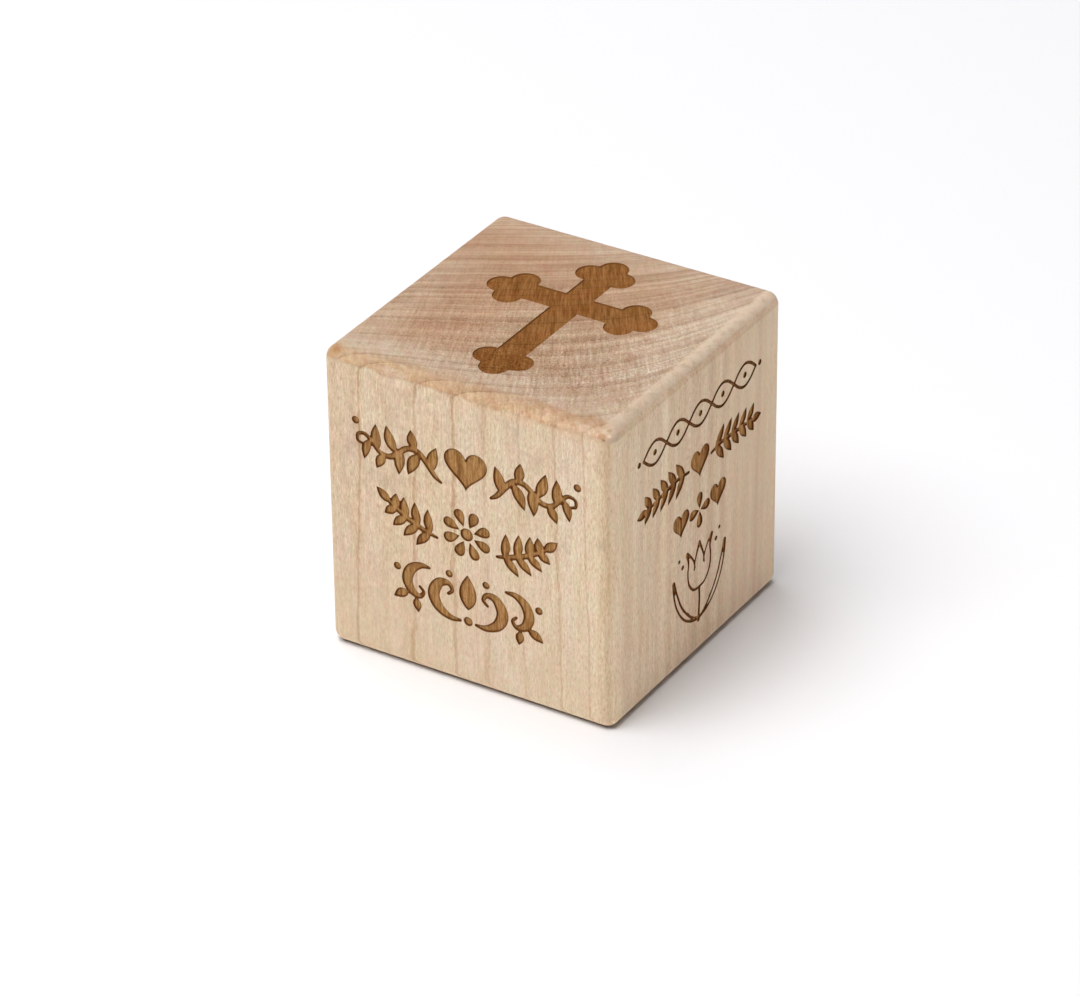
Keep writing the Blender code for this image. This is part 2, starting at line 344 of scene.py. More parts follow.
def merged_outline(shapes):
    """The outline of all shapes together, as points and edges that keep the
    inside on their left."""
    verts, loops = [], []
    for shape in map(anticlockwise, shapes):
        loops.append(list(range(len(verts), len(verts) + len(shape))))
        verts += [Vector(p) for p in shape]
    points, _, tris, _, _, owners = delaunay_2d_cdt(verts, [], loops, 0, 1e-4, True)
    sides = {}
    for tri, owner in zip(tris, owners):
        if owner:
            for a, b in zip(tri, (*tri[1:], tri[0])):
                sides[(a, b)] = True
    edges = [(a, b) for a, b in sides if (b, a) not in sides]
    used = sorted({i for e in edges for i in e})
    index = {old: new for new, old in enumerate(used)}
    return (np.array([(points[i].x, points[i].y) for i in used]),
            np.array([(index[a], index[b]) for a, b in edges]))


def lattice(u0, v0, u1, v1, step):
    """A triangular lattice over a rectangle."""
    rows = []
    v, odd = v0, False
    while v <= v1:
        us = np.arange(u0 + (step / 2 if odd else 0), u1, step)
        rows.append(np.stack([us, np.full_like(us, v)], 1))
        v += step * 0.866
        odd = not odd
    return np.concatenate(rows)


def engraved_face(bm, layer, place, border, shapes):
    """Fills one flat face, with its engraving, into the mesh.

    place turns (u, v, w) in mm into a position, w out of the face; border is
    the face's closed border of (u, v) points, shared with the round edges.
    """
    ring, edges = merged_outline(shapes)
    outline = Outline(ring[edges[:, 0]], ring[edges[:, 1]])
    lo, hi = ring.min(0) - .5, ring.max(0) + .5
    step = .2
    grid = lattice(lo[0], lo[1], hi[0], hi[1], step)
    rng = np.random.default_rng(7)
    grid = grid + rng.uniform(-.12, .12, grid.shape) * step
    d = outline.signed(grid)
    grid = grid[(d < -.12) | ((d > .10) & (d < .42))]
    border = np.array(border)
    every = np.concatenate([ring, border, grid])
    n0 = len(ring)
    lines = [tuple(map(int, e)) for e in edges]
    lines += [(n0 + i, n0 + (i + 1) % len(border)) for i in range(len(border))]
    points, made, tris, sources, _, _ = delaunay_2d_cdt(
        [Vector(p) for p in every], lines, [], 0, 1e-6, True)
    pts = np.array([(p.x, p.y) for p in points])
    tri = np.array(tris)
    dist = outline.signed(pts)
    renamed = {}
    for new, olds in enumerate(sources):
        for old in olds:
            renamed[old] = new
    on_ring = np.zeros(len(pts), bool)
    on_ring[[renamed[i] for i in range(n0)]] = True

    # triangles inside the outlines: those with an outline edge on their
    # boundary, and all that can be reached from them
    wall = {(renamed[int(i)], renamed[int(j)]) for i, j in edges}
    beside, cut = {}, np.zeros(len(tri), bool)
    for k, t in enumerate(tri.tolist()):
        for i, j in zip(t, (t[1], t[2], t[0])):
            beside[(i, j)] = k
    queue = [beside[e] for e in wall if e in beside]
    while queue:
        k = queue.pop()
        if cut[k]:
            continue
        cut[k] = True
        t = tri[k].tolist()
        for i, j in zip(t, (t[1], t[2], t[0])):
            if (i, j) not in wall and (j, i) in beside and not cut[beside[(j, i)]]:
                queue.append(beside[(j, i)])

    rim = [e for e in wall if e in beside]
    push = np.zeros_like(pts)
    for i, j in rim:
        e = pts[j] - pts[i]
        n = np.array((-e[1], e[0])) / max(np.hypot(*e), 1e-9)
        push[i] += n
        push[j] += n
    length = np.maximum(np.hypot(push[:, 0], push[:, 1]), 1e-9)
    push /= length[:, None]
    rim_ids = np.array(sorted({i for e in rim for i in e}))
    inset = np.full(len(rim_ids), .045)
    for _ in range(4):
        trial = pts[rim_ids] + push[rim_ids] * inset[:, None]
        bad = outline.signed(trial) > -.7 * inset
        inset[bad] *= .5
    move = dict(zip(rim_ids.tolist(), inset))

    tone = rng.uniform(-1, 1, len(pts))
    top, mid, low = {}, {}, {}

    def at(kind, i):
        if i not in kind:
            u, v = pts[i]
            if kind is top:
                w, value = 0.0, (0.0 if on_ring[i] else min(abs(dist[i]), FAR))
            elif i in move:
                k = .3 if kind is mid else 1.0
                u, v = pts[i] + push[i] * move[i] * k
                w = -.05 if kind is mid else -DEPTH * .96
                value = -.01 if kind is mid else -move[i]
            else:
                w = -DEPTH + .012 * tone[i]
                value = -min(abs(dist[i]), FAR)
            vert = bm.verts.new(place(u, v, w))
            vert[layer] = value
            kind[i] = vert
        return kind[i]

    for t, is_cut in zip(tri.tolist(), cut):
        kind = low if is_cut else top
        bm.faces.new([at(kind, i) for i in t])
    for i, j in rim:
        bm.faces.new((at(top, i), at(top, j), at(mid, j), at(mid, i)))
        bm.faces.new((at(mid, i), at(mid, j), at(low, j), at(low, i)))


# ------------------------------------------------------------- the block
def along_edge(inner, count):
    return [inner * (2 * k / count - 1) for k in range(count + 1)]


BAND = 8     # rows of faces over an eighth of a turn
ALONG = 92  # faces along an edge


def face_steps(inner):
    """Cube coordinates over one face: round edge, flat, round edge."""
    band = [inner + ROUND * math.tan(math.pi / 4 * k / BAND) for k in range(1, BAND + 1)]
    return [-x for x in reversed(band)] + along_edge(inner, ALONG) + band


def cube_to_block(p, centre):
    """Moves a point of the sharp box on to the rounded one."""
    q = Vector((p[0] - centre[0], p[1] - centre[1], p[2] - centre[2]))
    half = (HALF, HALF, HEIGHT / 2)
    core = Vector([max(-h + ROUND, min(h - ROUND, c)) for h, c in zip(half, q)])
    out = q - core
    n = out.normalized()
    p = core + n * ROUND
    return Vector((p[0] + centre[0], p[1] + centre[1], p[2] + centre[2]))


def block_mesh():
    bm = bmesh.new()
    layer = bm.verts.layers.float.new("edge_mm")
    centre = (0.0, 0.0, HEIGHT / 2)
    mid = HEIGHT / 2
    # each face: place(u, v, w), half size along u and v, design
    faces = (
        (lambda u, v, w: (u, v, HEIGHT + w), HALF, HALF, 0, budded_cross()),
        (lambda u, v, w: (u, -HALF - w, v), HALF, mid, mid, front_design()),
        (lambda u, v, w: (HALF + w, u, v), HALF, mid, mid, right_design()),
        (lambda u, v, w: (-u, HALF + w, v), HALF, mid, mid, None),
        (lambda u, v, w: (-HALF - w, -u, v), HALF, mid, mid, None),
        (lambda u, v, w: (u, -v, -w), HALF, HALF, 0, None),
    )
    for place, hu, hv, shift, design in faces:
        us, vs = face_steps(hu - ROUND), face_steps(hv - ROUND)
        n = len(us)
        first, last = BAND, n - 1 - BAND
        grid = {}

        def corner(i, j):
            if (i, j) not in grid:
                vert = bm.verts.new(cube_to_block(place(us[i], vs[j] + shift, 0), centre))
                vert[layer] = FAR
                grid[(i, j)] = vert
            return grid[(i, j)]

        for i in range(n - 1):
            for j in range(n - 1):
                flat = first <= i < last and first <= j < last
                if not (flat and design):
                    bm.faces.new((corner(i, j), corner(i + 1, j),
                                  corner(i + 1, j + 1), corner(i, j + 1)))
        if design:
            rim = ([(us[i], vs[first] + shift) for i in range(first, last)]
                   + [(us[last], vs[j] + shift) for j in range(first, last)]
                   + [(us[i], vs[last] + shift) for i in range(last, first, -1)]
                   + [(us[first], vs[j] + shift) for j in range(last, first, -1)])
            engraved_face(bm, layer, place, rim, design)
    bmesh.ops.remove_doubles(bm, verts=bm.verts[:], dist=1e-4)
    bmesh.ops.recalc_face_normals(bm, faces=bm.faces[:])
    bm.transform(Matrix.Scale(MM, 4))
    mesh = bpy.data.meshes.new("keepsake_block")
    bm.to_mesh(mesh)
    bm.free()
    mesh.shade_smooth()
    mesh.set_sharp_from_angle(angle=math.radians(32))
    return mesh


block = bpy.data.objects.new("keepsake_block", block_mesh())
bpy.context.scene.collection.objects.link(block)


# ------------------------------------------------------------ node helper
class Graph:
    """Short names for the shader nodes used below."""

    def __init__(self, owner):
        owner.use_nodes = True
        self.owner = owner
        self.tree = owner.node_tree
        self.shader = self.tree.nodes.get("Principled BSDF")

    def new(self, kind, **props):
        node = self.tree.nodes.new(kind)
        for key, value in props.items():
            setattr(node, key, value)
        return node

    def feed(self, socket, value):
        if isinstance(value, bpy.types.NodeSocket):
            self.tree.links.new(value, socket)
        elif value is not None:
            socket.default_value = value

    def math(self, op, a, b=None, c=None, clamp=False):
        node = self.new('ShaderNodeMath', operation=op, use_clamp=clamp)
        for socket, value in zip(node.inputs, (a, b, c)):
            self.feed(socket, value)
        return node.outputs[0]

    def add(self, a, b): return self.math('ADD', a, b)
    def sub(self, a, b): return self.math('SUBTRACT', a, b)
    def mul(self, a, b): return self.math('MULTIPLY', a, b)
    def madd(self, a, b, c): return self.math('MULTIPLY_ADD', a, b, c)

    def combine(self, x, y, z):
        node = self.new('ShaderNodeCombineXYZ')
        for socket, value in zip(node.inputs, (x, y, z)):
            self.feed(socket, value)
        return node.outputs[0]

    def split(self, vector):
        node = self.new('ShaderNodeSeparateXYZ')
        self.feed(node.inputs[0], vector)
        return node.outputs

    def scaled(self, vector, by):
        node = self.new('ShaderNodeVectorMath', operation='MULTIPLY')
        self.feed(node.inputs[0], vector)
        self.feed(node.inputs[1], by)
        return node.outputs[0]

    def noise(self, vector, scale=1.0, detail=2.0, rough=0.5, distortion=0.0, colour=False):
        node = self.new('ShaderNodeTexNoise', noise_dimensions='3D')
        self.feed(node.inputs['Vector'], vector)
        self.feed(node.inputs['Scale'], scale)
        self.feed(node.inputs['Detail'], detail)
        self.feed(node.inputs['Roughness'], rough)
        self.feed(node.inputs['Distortion'], distortion)
        return node.outputs['Color' if colour else 'Fac']

    def white(self, value):
        node = self.new('ShaderNodeTexWhiteNoise', noise_dimensions='1D')
        self.feed(node.inputs['W'], value)
        return node.outputs['Value']

    def span(self, value, lo, hi, out_lo=0.0, out_hi=1.0, smooth=True):
        node = self.new('ShaderNodeMapRange',
                        interpolation_type='SMOOTHSTEP' if smooth else 'LINEAR', clamp=True)
        for socket, v in zip(node.inputs, (value, lo, hi, out_lo, out_hi)):
            self.feed(socket, v)
        return node.outputs['Result']

    def mix(self, fac, a, b, blend='MIX'):
        node = self.new('ShaderNodeMix', data_type='RGBA', blend_type=blend,
                        clamp_factor=True)
        self.feed(node.inputs[0], fac)
        self.feed(node.inputs[6], a)
        self.feed(node.inputs[7], b)
        return node.outputs[2]

    def lerp(self, fac, a, b):
        node = self.new('ShaderNodeMix', data_type='FLOAT', clamp_factor=True)
        self.feed(node.inputs[0], fac)
        self.feed(node.inputs[2], a)
        self.feed(node.inputs[3], b)
        return node.outputs[0]

    def ramp(self, fac, stops):
        node = self.new('ShaderNodeValToRGB')
        elements = node.color_ramp.elements
        while len(elements) < len(stops):
            elements.new(0.5)
        for element, (at, value) in zip(elements, stops):
            element.position = at
            element.color = (value,) * 3 + (1.0,) if isinstance(value, (int, float)) else value
        self.feed(node.inputs[0], fac)
        return node.outputs[0]


# --------------------------------------------------------- solid maple
# Each growth ring's place along the field below, in mm, and how dark its line
# is on the left and in the middle, and on the right.
RINGS = ((-18.0, .45, .4), (-15.1, .5, .4), (-13.1, .5, .5), (-11.1, .45, .4), (-9.5, .6, .7),
         (-7.5, .75, .8), (-6.0, .7, .75), (-4.7, .5, .2), (-3.2, .6, .5), (-1.9, .6, .45),
         (.9, .95, 1.0), (3.0, .3, .3), (5.6, 1.0, .75), (8.3, .75, .6), (11.05, 1.0, .85),
         (12.5, .95, .85), (13.75, .2, .9), (15.0, .9, .6), (16.4, 1.0, .25), (17.55, .6, .6),
         (18.87, .5, .2), (20.65, .9, .5), (22.5, .8, .5), (24.3, .5, .7))

MAPLE = (.764, .600, .419, 1)        # long grain on the left
MAPLE_RIGHT = (.823, .670, .480, 1)  # and on the right
END = (.380, .231, .143, 1)          # end grain
END_PALE = (.480, .367, .270, 1)     # end grain near its borders
BURNISHED = (.465, .313, .191, 1)    # the rounded front edge, above
BURNISHED_LOW = (.570, .380, .232, 1)  # and below
STAIN = (.125, .030, .002, 1)        # wood burnt at an engraving's edge
STAIN_TOP = (.150, .055, .011, 1)    # and on the end grain


def maple():
    g = Graph(bpy.data.materials.new("maple"))
    coord = g.new('ShaderNodeTexCoord').outputs['Object']
    pos = g.scaled(coord, (1000.0, 1000.0, 1000.0))
    x, y, z = g.split(pos)
    normal = g.new('ShaderNodeNewGeometry').outputs['Normal']
    nx, ny, nz = g.split(normal)
    nz = g.math('ABSOLUTE', nz)

    def tint(fac, colour, amount):
        """The colour times another one, as far as the factor says."""
        return g.mix(fac, colour, g.mix(1.0, colour, amount, 'MULTIPLY'))

    # rays, straight across the rings
    rx, ry = g.add(x, 60.0), g.sub(y, 110.0)
    turn = g.mul(g.math('ARCTAN2', ry, rx), 125.0)
    out = g.math('SQRT', g.add(g.mul(rx, rx), g.mul(ry, ry)))
    rays = g.noise(g.combine(g.mul(turn, 1.9), g.mul(out, .16), g.mul(z, .3)), 1, 3.0, .75)
    fine_rays = g.noise(g.combine(g.mul(turn, 4.6), g.mul(out, .45), g.mul(z, .8)), 1, 2.0, .6)

    # growth rings: a cubic field over the end grain, drawn out along z
    s = HALF
    wander = g.noise(g.scaled(pos, (.06, .06, .012)), 1, 1.0)
    ripple = g.noise(g.scaled(pos, (.30, .30, .07)), 1, 2.0)
    jitter = g.noise(g.scaled(pos, (1.1, 1.1, .22)), 1, 2.0, .5)
    lean = g.mul(g.sub(z, HEIGHT - 5.0), g.span(x, -22, 18, -.0125, .0075, smooth=False))
    u = g.mul(x, 1 / s)
    v = g.mul(y, 1 / s)
    u2, v2, uv = g.mul(u, u), g.mul(v, v), g.mul(u, v)
    phi = g.mul(u, .4317 * s)
    for term, k in ((v, -.6444), (u2, .0890), (uv, .2536), (v2, -.0392), (g.mul(u2, u), .0857),
                    (g.mul(u2, v), .0686), (g.mul(uv, v), .0298), (g.mul(v2, v), -.0741)):
        phi = g.madd(term, k * s, phi)
    phi = g.add(phi, g.mul(g.sub(wander, .5), .4))
    phi = g.add(phi, g.mul(g.sub(ripple, .5), .35))
    phi = g.add(phi, g.mul(g.sub(jitter, .5), .13))
    phi = g.add(phi, g.mul(g.sub(rays, .5), .35))
    phi = g.add(phi, lean)

    # distance along the field to ring number
    curve = g.new('ShaderNodeFloatCurve')
    lo, hi = -45.0, 35.0
    knots = [(lo, (lo - RINGS[0][0]) / 2.25)]
    knots += [(ring[0], float(k)) for k, ring in enumerate(RINGS)]
    knots += [(hi, len(RINGS) - 1 + (hi - RINGS[-1][0]) / 1.8)]
    r_lo, r_hi = knots[0][1], knots[-1][1]
    points = curve.mapping.curves[0].points
    while len(points) < len(knots):
        points.new(.5, .5)
    for point, (at, r) in zip(points, knots):
        point.location = ((at - lo) / (hi - lo), (r - r_lo) / (r_hi - r_lo))
        point.handle_type = 'VECTOR'
    curve.mapping.update()
    g.feed(curve.inputs['Value'], g.span(phi, lo, hi, smooth=False))
    ring = g.madd(curve.outputs[0], r_hi - r_lo, r_lo)
    nearest = g.math('FLOOR', g.add(ring, .5))
    number = g.math('FLOOR', ring)
    across = g.math('FRACT', ring)
    luck = g.white(nearest)
    luck2 = g.white(g.add(number, 71.3))

    def table(values, index):
        """The value at an index."""
        ramp = g.new('ShaderNodeValToRGB')
        ramp.color_ramp.interpolation = 'CONSTANT'
        n = len(values)
        while len(ramp.color_ramp.elements) < n:
            ramp.color_ramp.elements.new(.5)
        for k, (element, value) in enumerate(zip(ramp.color_ramp.elements, values)):
            element.position = k / n
            element.color = (value,) * 3 + (1,)
        g.feed(ramp.inputs[0], g.mul(g.add(index, .5), 1 / n))
        return ramp.outputs[0]

    places = [entry[0] for entry in RINGS]
    width = table([b - a for a, b in zip(places, places[1:])] + [1.8], number)
    strength = g.lerp(g.span(x, 2, 22), table([entry[1] for entry in RINGS], nearest),
                      table([entry[2] for entry in RINGS], nearest))
    strength = g.lerp(g.span(phi, -19.5, -18.6), g.madd(luck, .4, .25), strength)

    # the dark line that ends each ring, and the slow darkening towards it
    past = g.mul(across, width)
    ahead = g.sub(width, past)
    line = g.math('MAXIMUM', g.span(past, .10, .02), g.span(ahead, .12, .03))
    slope = g.mul(g.span(ahead, .75, .05), strength)
    soft_line = g.mul(g.span(g.math('MINIMUM', past, ahead), .50, .0), strength)
    late = g.ramp(across, [(0, .45), (.16, .08), (.45, .0), (.80, .5), (1, 1)])
    line = g.mul(line, strength)
    line = g.mul(line, g.math('SUBTRACT', 1.0, g.mul(g.span(x, -21.6, -22.4),
                                                      g.span(y, -22.5, -24.0)), clamp=True))
    # paler and darker growth inside a ring
    bands = g.noise(g.combine(g.mul(phi, .42), g.mul(z, .004), g.mul(x, .02)), 1, 1.0, .5)
    streak = g.noise(g.combine(g.mul(phi, 1.35), g.mul(z, .006), g.mul(x, .03)), 1, 2.5, .6)
    thin = g.noise(g.combine(g.mul(phi, 4.2), g.mul(z, .012), g.mul(x, .09)), 1, 1.5, .55)

    # vessels and fibres: dots on the end grain, drawn out along z on the sides
    pores = g.noise(g.scaled(pos, (5.0, 5.0, .50)), 1, 3.0, .75)
    speck = g.noise(g.scaled(pos, (2.6, 2.6, 2.6)), 1, 3.0, .8)
    grit = g.noise(g.scaled(pos, (4.4, 4.4, 1.15)), 1, 2.0, .7)
    fibres = g.noise(g.scaled(pos, (2.4, 2.4, .18)), 1, 5.0, .7)
    flecks = g.noise(g.scaled(pos, (3.6, 3.6, .60)), 1, 2.0, .6)
    cloud = g.noise(g.scaled(pos, (.16, .16, .05)), 1, 3.0, .55)
    blush = g.noise(g.scaled(pos, (.50, .50, .06)), 1, 3.0, .6)
    mottle = g.noise(g.scaled(pos, (.8, .8, .4)), 1, 4.0, .65)
    torn = g.noise(g.scaled(pos, (.7, .7, .7)), 1, 4.0, .65)
    hue = g.noise(g.scaled(pos, (1.1, 1.1, .8)), 1, 2.0, .6)
    hue_wide = g.noise(g.scaled(pos, (.38, .38, .28)), 1, 1.0, .5)
    dapple = g.noise(g.scaled(pos, (1.0, 1.0, .55)), 1, 2.0, .5)
    drift = g.noise(g.scaled(pos, (.26, .26, .26)), 1, 1.0, .5)

    # long grain, paler towards the right; the right side is painted paler yet, as painted light where
    # the lamps leave it dim
    on_right = g.span(nx, .55, .98)
    side = g.mix(g.span(x, -20, 18), MAPLE, MAPLE_RIGHT)
    side = tint(on_right, side, (1.135, 1.13, 1.105, 1))
    on_front = g.span(ny, -.5, -.9)
    # the grain is finest cut high on the front, softer at its foot
    cut = g.lerp(on_front, g.lerp(on_right, .72, 1.0),
                 g.lerp(g.span(z, 2, 30), g.span(x, -20, 24, .50, .85), 1.0))
    sharp = g.mul(g.sub(1.0, g.mul(on_right, g.span(y, 0, 16, .15, .60))), cut)
    # the stripes die away towards the back of the right side
    calm = g.sub(1.0, g.mul(on_right, g.span(y, -5, 8, 0, .42)))
    side = tint(g.span(blush, .40, .62, 0, .30), side, (.965, .92, .92, 1))
    side = tint(g.span(cloud, .35, .65), side, (.98, .975, .97, 1))
    side = tint(g.mul(g.mul(g.span(streak, .38, .62), g.lerp(on_right, .16, .80)), calm), side,
                (.92, .88, .86, 1))
    # painted shade over the back part of the right side
    side = tint(g.mul(on_right, g.mul(g.span(y, -10, -3), g.span(y, 23, 17, .35, 1.0))), side,
                (.905, .871, .870, 1))
    side = tint(g.mul(g.mul(g.span(bands, .38, .62), g.lerp(on_right, .0, .60)), calm), side,
                (.93, .90, .90, 1))
    side = tint(g.mul(g.span(fibres, .38, .66, 0, .45), sharp), side, (.86, .80, .76, 1))
    side = tint(g.mul(g.span(fibres, .52, .32, 0, .45), sharp), side, (1.14, 1.20, 1.26, 1))
    side = tint(g.mul(g.span(grit, .50, .72), sharp), side, (.82, .73, .65, 1))
    side = tint(g.mul(g.span(grit, .50, .30), sharp), side, (1.12, 1.18, 1.24, 1))
    side = tint(g.mul(g.span(flecks, .54, .74, 0, .45), sharp), side, (.79, .68, .59, 1))
    side = tint(g.mul(late, g.lerp(luck2, .0, .25)), side, (.93, .88, .85, 1))
    dappled = g.mul(g.mul(g.span(x, 12, -14), g.sub(1.0, on_right)), cut)
    side = tint(g.mul(g.span(dapple, .50, .64), dappled), side, (.945, .935, .925, 1))
    side = tint(g.mul(g.span(dapple, .50, .36), dappled), side, (1.05, 1.06, 1.07, 1))
    fade = g.span(g.noise(g.scaled(pos, (.35, .35, .13)), 1, 3.0), .32, .55, .35, 1.0)
    side = tint(g.mul(on_front, g.mul(g.span(x, -2, 3), g.span(x, 21, 17))), side,
                (.970, .965, .972, 1))
    side = tint(g.mul(on_front, g.mul(g.span(z, 22, 17), g.span(z, 3, 7))), side,
                (.978, .972, .975, 1))
    # painted shade towards the foot of the right side, and painted light towards its top
    side = tint(g.mul(on_right, g.span(z, 30, 6)), side, (.97, .955, .96, 1))
    side = tint(g.mul(on_right, g.span(z, 30, 46)), side, (1.02, 1.02, 1.02, 1))
    side_line = g.math('MAXIMUM', g.mul(line, g.lerp(on_right, 1.0, .42)),
                       g.mul(g.lerp(on_right, slope, soft_line), g.lerp(on_right, .10, .44)))
    side_line = g.mul(side_line, g.lerp(on_front, calm, g.mul(g.span(x, 3, 15, .84, 1.18),
                                                              g.span(z, 8, 42, .74, 1.0))))
    side = tint(g.mul(side_line, g.lerp(fade, .45, 1.0)), side, (.74, .585, .485, 1))

    # end grain: darkest in the middle, paler to the right and at the borders
    near_front = g.mul(g.span(y, -13, -22), g.span(x, 18, -16, .85, 1.0))
    near_back = g.span(y, 14, 23, 0, .40)
    near_right = g.mul(g.span(g.add(x, g.mul(g.sub(mottle, .5), 10.0)), 7, 22),
                       g.span(y, -22, -10, .90, .94))
    near_left = g.mul(g.span(x, -14, -22, 0, .42), g.span(y, 18, 2))
    pale = g.math('MAXIMUM', g.math('MAXIMUM', near_right, near_left),
                  g.math('MAXIMUM', near_front, near_back))
    upper = g.span(z, 25, 30)
    wobble = g.mul(g.sub(torn, .5), 4.2)
    middle = g.mul(g.span(x, -4, -1), g.span(x, 9, 6))
    border = g.sub(g.madd(g.sub(torn, .5), .5, g.mul(g.sub(drift, .5), .5)), g.mul(middle, .06))
    front_band = g.mul(g.mul(g.span(g.add(y, wobble), -20.6, -23.1), upper),
                       g.span(g.add(nz, border), .0, .36))
    top = g.mix(pale, END, END_PALE)
    # yellower in the middle, deeper along the left and in two places at the right
    top = tint(g.mul(g.mul(g.span(x, -9, -4), g.span(x, 15, 10)),
                     g.mul(g.span(y, -19.5, -14.5), g.span(y, 3, -2, .35, 1.0))), top,
               (1.01, 1.10, 1.155, 1))
    top = tint(g.mul(g.span(x, -10, -17), g.mul(g.span(y, 14, 10), g.span(y, -14.5, -11))), top,
               (.945, .93, .915, 1))
    top = tint(g.mul(g.span(x, 11, 19), g.span(y, 16, 20)), top, (.91, .865, .86, 1))
    top = tint(g.mul(g.span(x, 17, 20), g.mul(g.span(y, -11, -14), g.span(y, -20, -18.5))), top,
               (.94, .89, .85, 1))
    burnished = g.mix(g.span(nz, .45, .85), BURNISHED_LOW, BURNISHED)
    burnished = tint(g.span(nz, .93, 1.0), burnished, (1.0, 1.06, 1.16, 1))
    burnished = tint(g.span(x, -6, 6), burnished, (.98, .945, .94, 1))
    burnished = tint(g.mul(g.span(x, 14, 21.5), g.span(nz, .94, .76, .25, 1.0)), burnished,
                     (1.14, 1.26, 1.42, 1))
    burnished = tint(g.mul(g.mul(g.span(x, -21, -19), g.span(x, -9.5, -11.5)),
                           g.span(nz, .88, .80)), burnished, (.93, .90, .905, 1))
    burnished = tint(g.mul(g.mul(g.span(x, 5.5, 8), g.span(x, 12, 9.5)), g.span(nz, .86, .78)),
                     burnished, (1.08, 1.14, 1.16, 1))
    feathered = g.noise(g.combine(g.mul(g.add(x, y), 1.1), g.mul(g.sub(x, y), .30),
                                  g.mul(z, .9)), 1, 3.0, .65)
    burnished = tint(g.span(feathered, .50, .66), burnished, (.93, .87, .81, 1))
    burnished = tint(g.span(feathered, .50, .34), burnished, (1.08, 1.13, 1.18, 1))
    top = g.mix(front_band, top, burnished)
    behind = g.add(y, 21.75)
    dull = g.mul(g.mul(g.span(g.sub(x, g.mul(behind, 2.0)), 0, -2),
                       g.span(g.sub(x, g.mul(behind, 3.0)), -14, -12)),
                 g.mul(g.span(y, -18.9, -20.2), g.span(nz, .96, .995)))
    dull = g.math('MAXIMUM', dull, g.mul(g.mul(g.mul(g.span(x, 12.5, 16), g.span(x, 22.5, 19.5)),
                                               g.span(y, -19.3, -20.8)), g.span(nz, .78, .92)))
    top = tint(g.mul(dull, upper), top, (.91, .867, .838, 1))
    # the saw's marks are soft towards the back and the left
    crisp = g.mul(g.mul(g.span(y, 22, -12, .20, 1.0), g.span(x, -23, 2, .50, 1.0)),
                  g.span(g.add(y, g.mul(wobble, .6)), -23.5, -15, .46, 1.0))
    crisp = g.mul(crisp, g.lerp(g.mul(g.span(x, 12, 20), g.span(y, 6, -2)), 1.0, .76))
    soft = g.span(y, -22, -2, .35, 1.0)
    rough_streak = g.add(streak, g.mul(g.sub(mottle, .5), .35))
    top = tint(g.mul(g.span(rough_streak, .46, .66), soft), top, (1.17, 1.23, 1.27, 1))
    top = tint(g.mul(g.span(rough_streak, .50, .34), soft), top, (.91, .86, .83, 1))
    top = tint(g.mul(g.span(bands, .50, .66), soft), top, (1.08, 1.11, 1.13, 1))
    top = tint(g.mul(g.span(bands, .50, .34), soft), top, (.945, .915, .90, 1))
    top = tint(g.mul(g.span(thin, .50, .72, 0, .5), crisp), top, (.90, .86, .83, 1))
    top = tint(g.mul(g.span(rays, .50, .68), crisp), top, (1.16, 1.22, 1.26, 1))
    top = tint(g.mul(g.span(rays, .50, .32), crisp), top, (.85, .79, .75, 1))
    top = tint(g.mul(g.span(fine_rays, .50, .72), crisp), top, (.84, .78, .74, 1))
    top = tint(g.mul(g.span(fine_rays, .50, .28), crisp), top, (1.15, 1.21, 1.25, 1))
    top = tint(g.mul(g.span(speck, .50, .70), crisp), top, (.64, .55, .49, 1))
    top = tint(g.mul(g.span(speck, .50, .30), crisp), top, (1.32, 1.44, 1.56, 1))
    top = tint(g.mul(g.mul(g.math('MAXIMUM', line, g.mul(slope, .5)), fade),
                     g.span(rays, .30, .62, 1.0, .55)), top, (.60, .51, .44, 1))

    # end grain runs on over the upper rounded edges
    end = g.math('MAXIMUM', front_band,
                 g.span(g.add(nz, g.mul(g.sub(torn, .5), .45)),
                        g.lerp(upper, .58, .30), g.lerp(upper, .82, .85)))
    wood = g.mix(end, side, top)
    brown = g.mul(g.span(g.math('ABSOLUTE', g.add(g.add(y, wobble), 22.7)), .9, .2),
                  g.mul(g.mul(g.span(x, -4, 13), g.span(nz, .90, .98)), upper))
    wood = tint(brown, wood, (.96, .88, .81, 1))
    below = g.mul(g.mul(g.span(z, 47.8, 48.9), g.span(x, -10, 4)), g.mul(on_front, g.span(nz, .4, .1)))
    wood = tint(below, wood, (1.0, .955, .89, 1))
    # a painted highlight along the right top edge
    right_edge_highlight = g.mul(g.mul(g.span(g.add(x, g.mul(g.sub(torn, .5), .9)), 22.2, 22.9),
                            g.span(nx, .90, .70)), g.mul(g.span(nz, .35, .6), upper))
    wood = g.mix(g.mul(right_edge_highlight, g.mul(g.span(mottle, .38, .60, .50, .95),
                                        g.span(y, -14, 2, .74, 1.0))), wood,
                 (.60, .465, .348, 1))
    # painted shade where the right top edge turns down into the shaded right side
    right_edge_shade = g.mul(g.mul(g.span(nx, .76, .88), g.span(nz, .0, .14)), upper)
    wood = tint(right_edge_shade, wood, (.88, .845, .82, 1))
    # the lower rounded edge, painted paler: painted light standing in for light thrown up from the
    # white floor
    wood = tint(g.mul(g.sub(1.0, upper), g.span(nz, .05, .45)), wood, (1.13, 1.13, 1.13, 1))
    # the vertical near edge, painted darker and more orange: painted shade where it turns from the lit
    # front to the right side, with a more orange tone
    near_edge_shade_and_hue = g.math('MAXIMUM', g.span(x, 22.0, 22.8, 0, .65), g.span(nx, .18, .42))
    near_edge_shade_and_hue = g.mul(g.mul(near_edge_shade_and_hue, g.span(nx, .85, .62)), g.span(ny, -.2, -.45))
    wood = tint(near_edge_shade_and_hue, wood, (.90, .85, .78, 1))
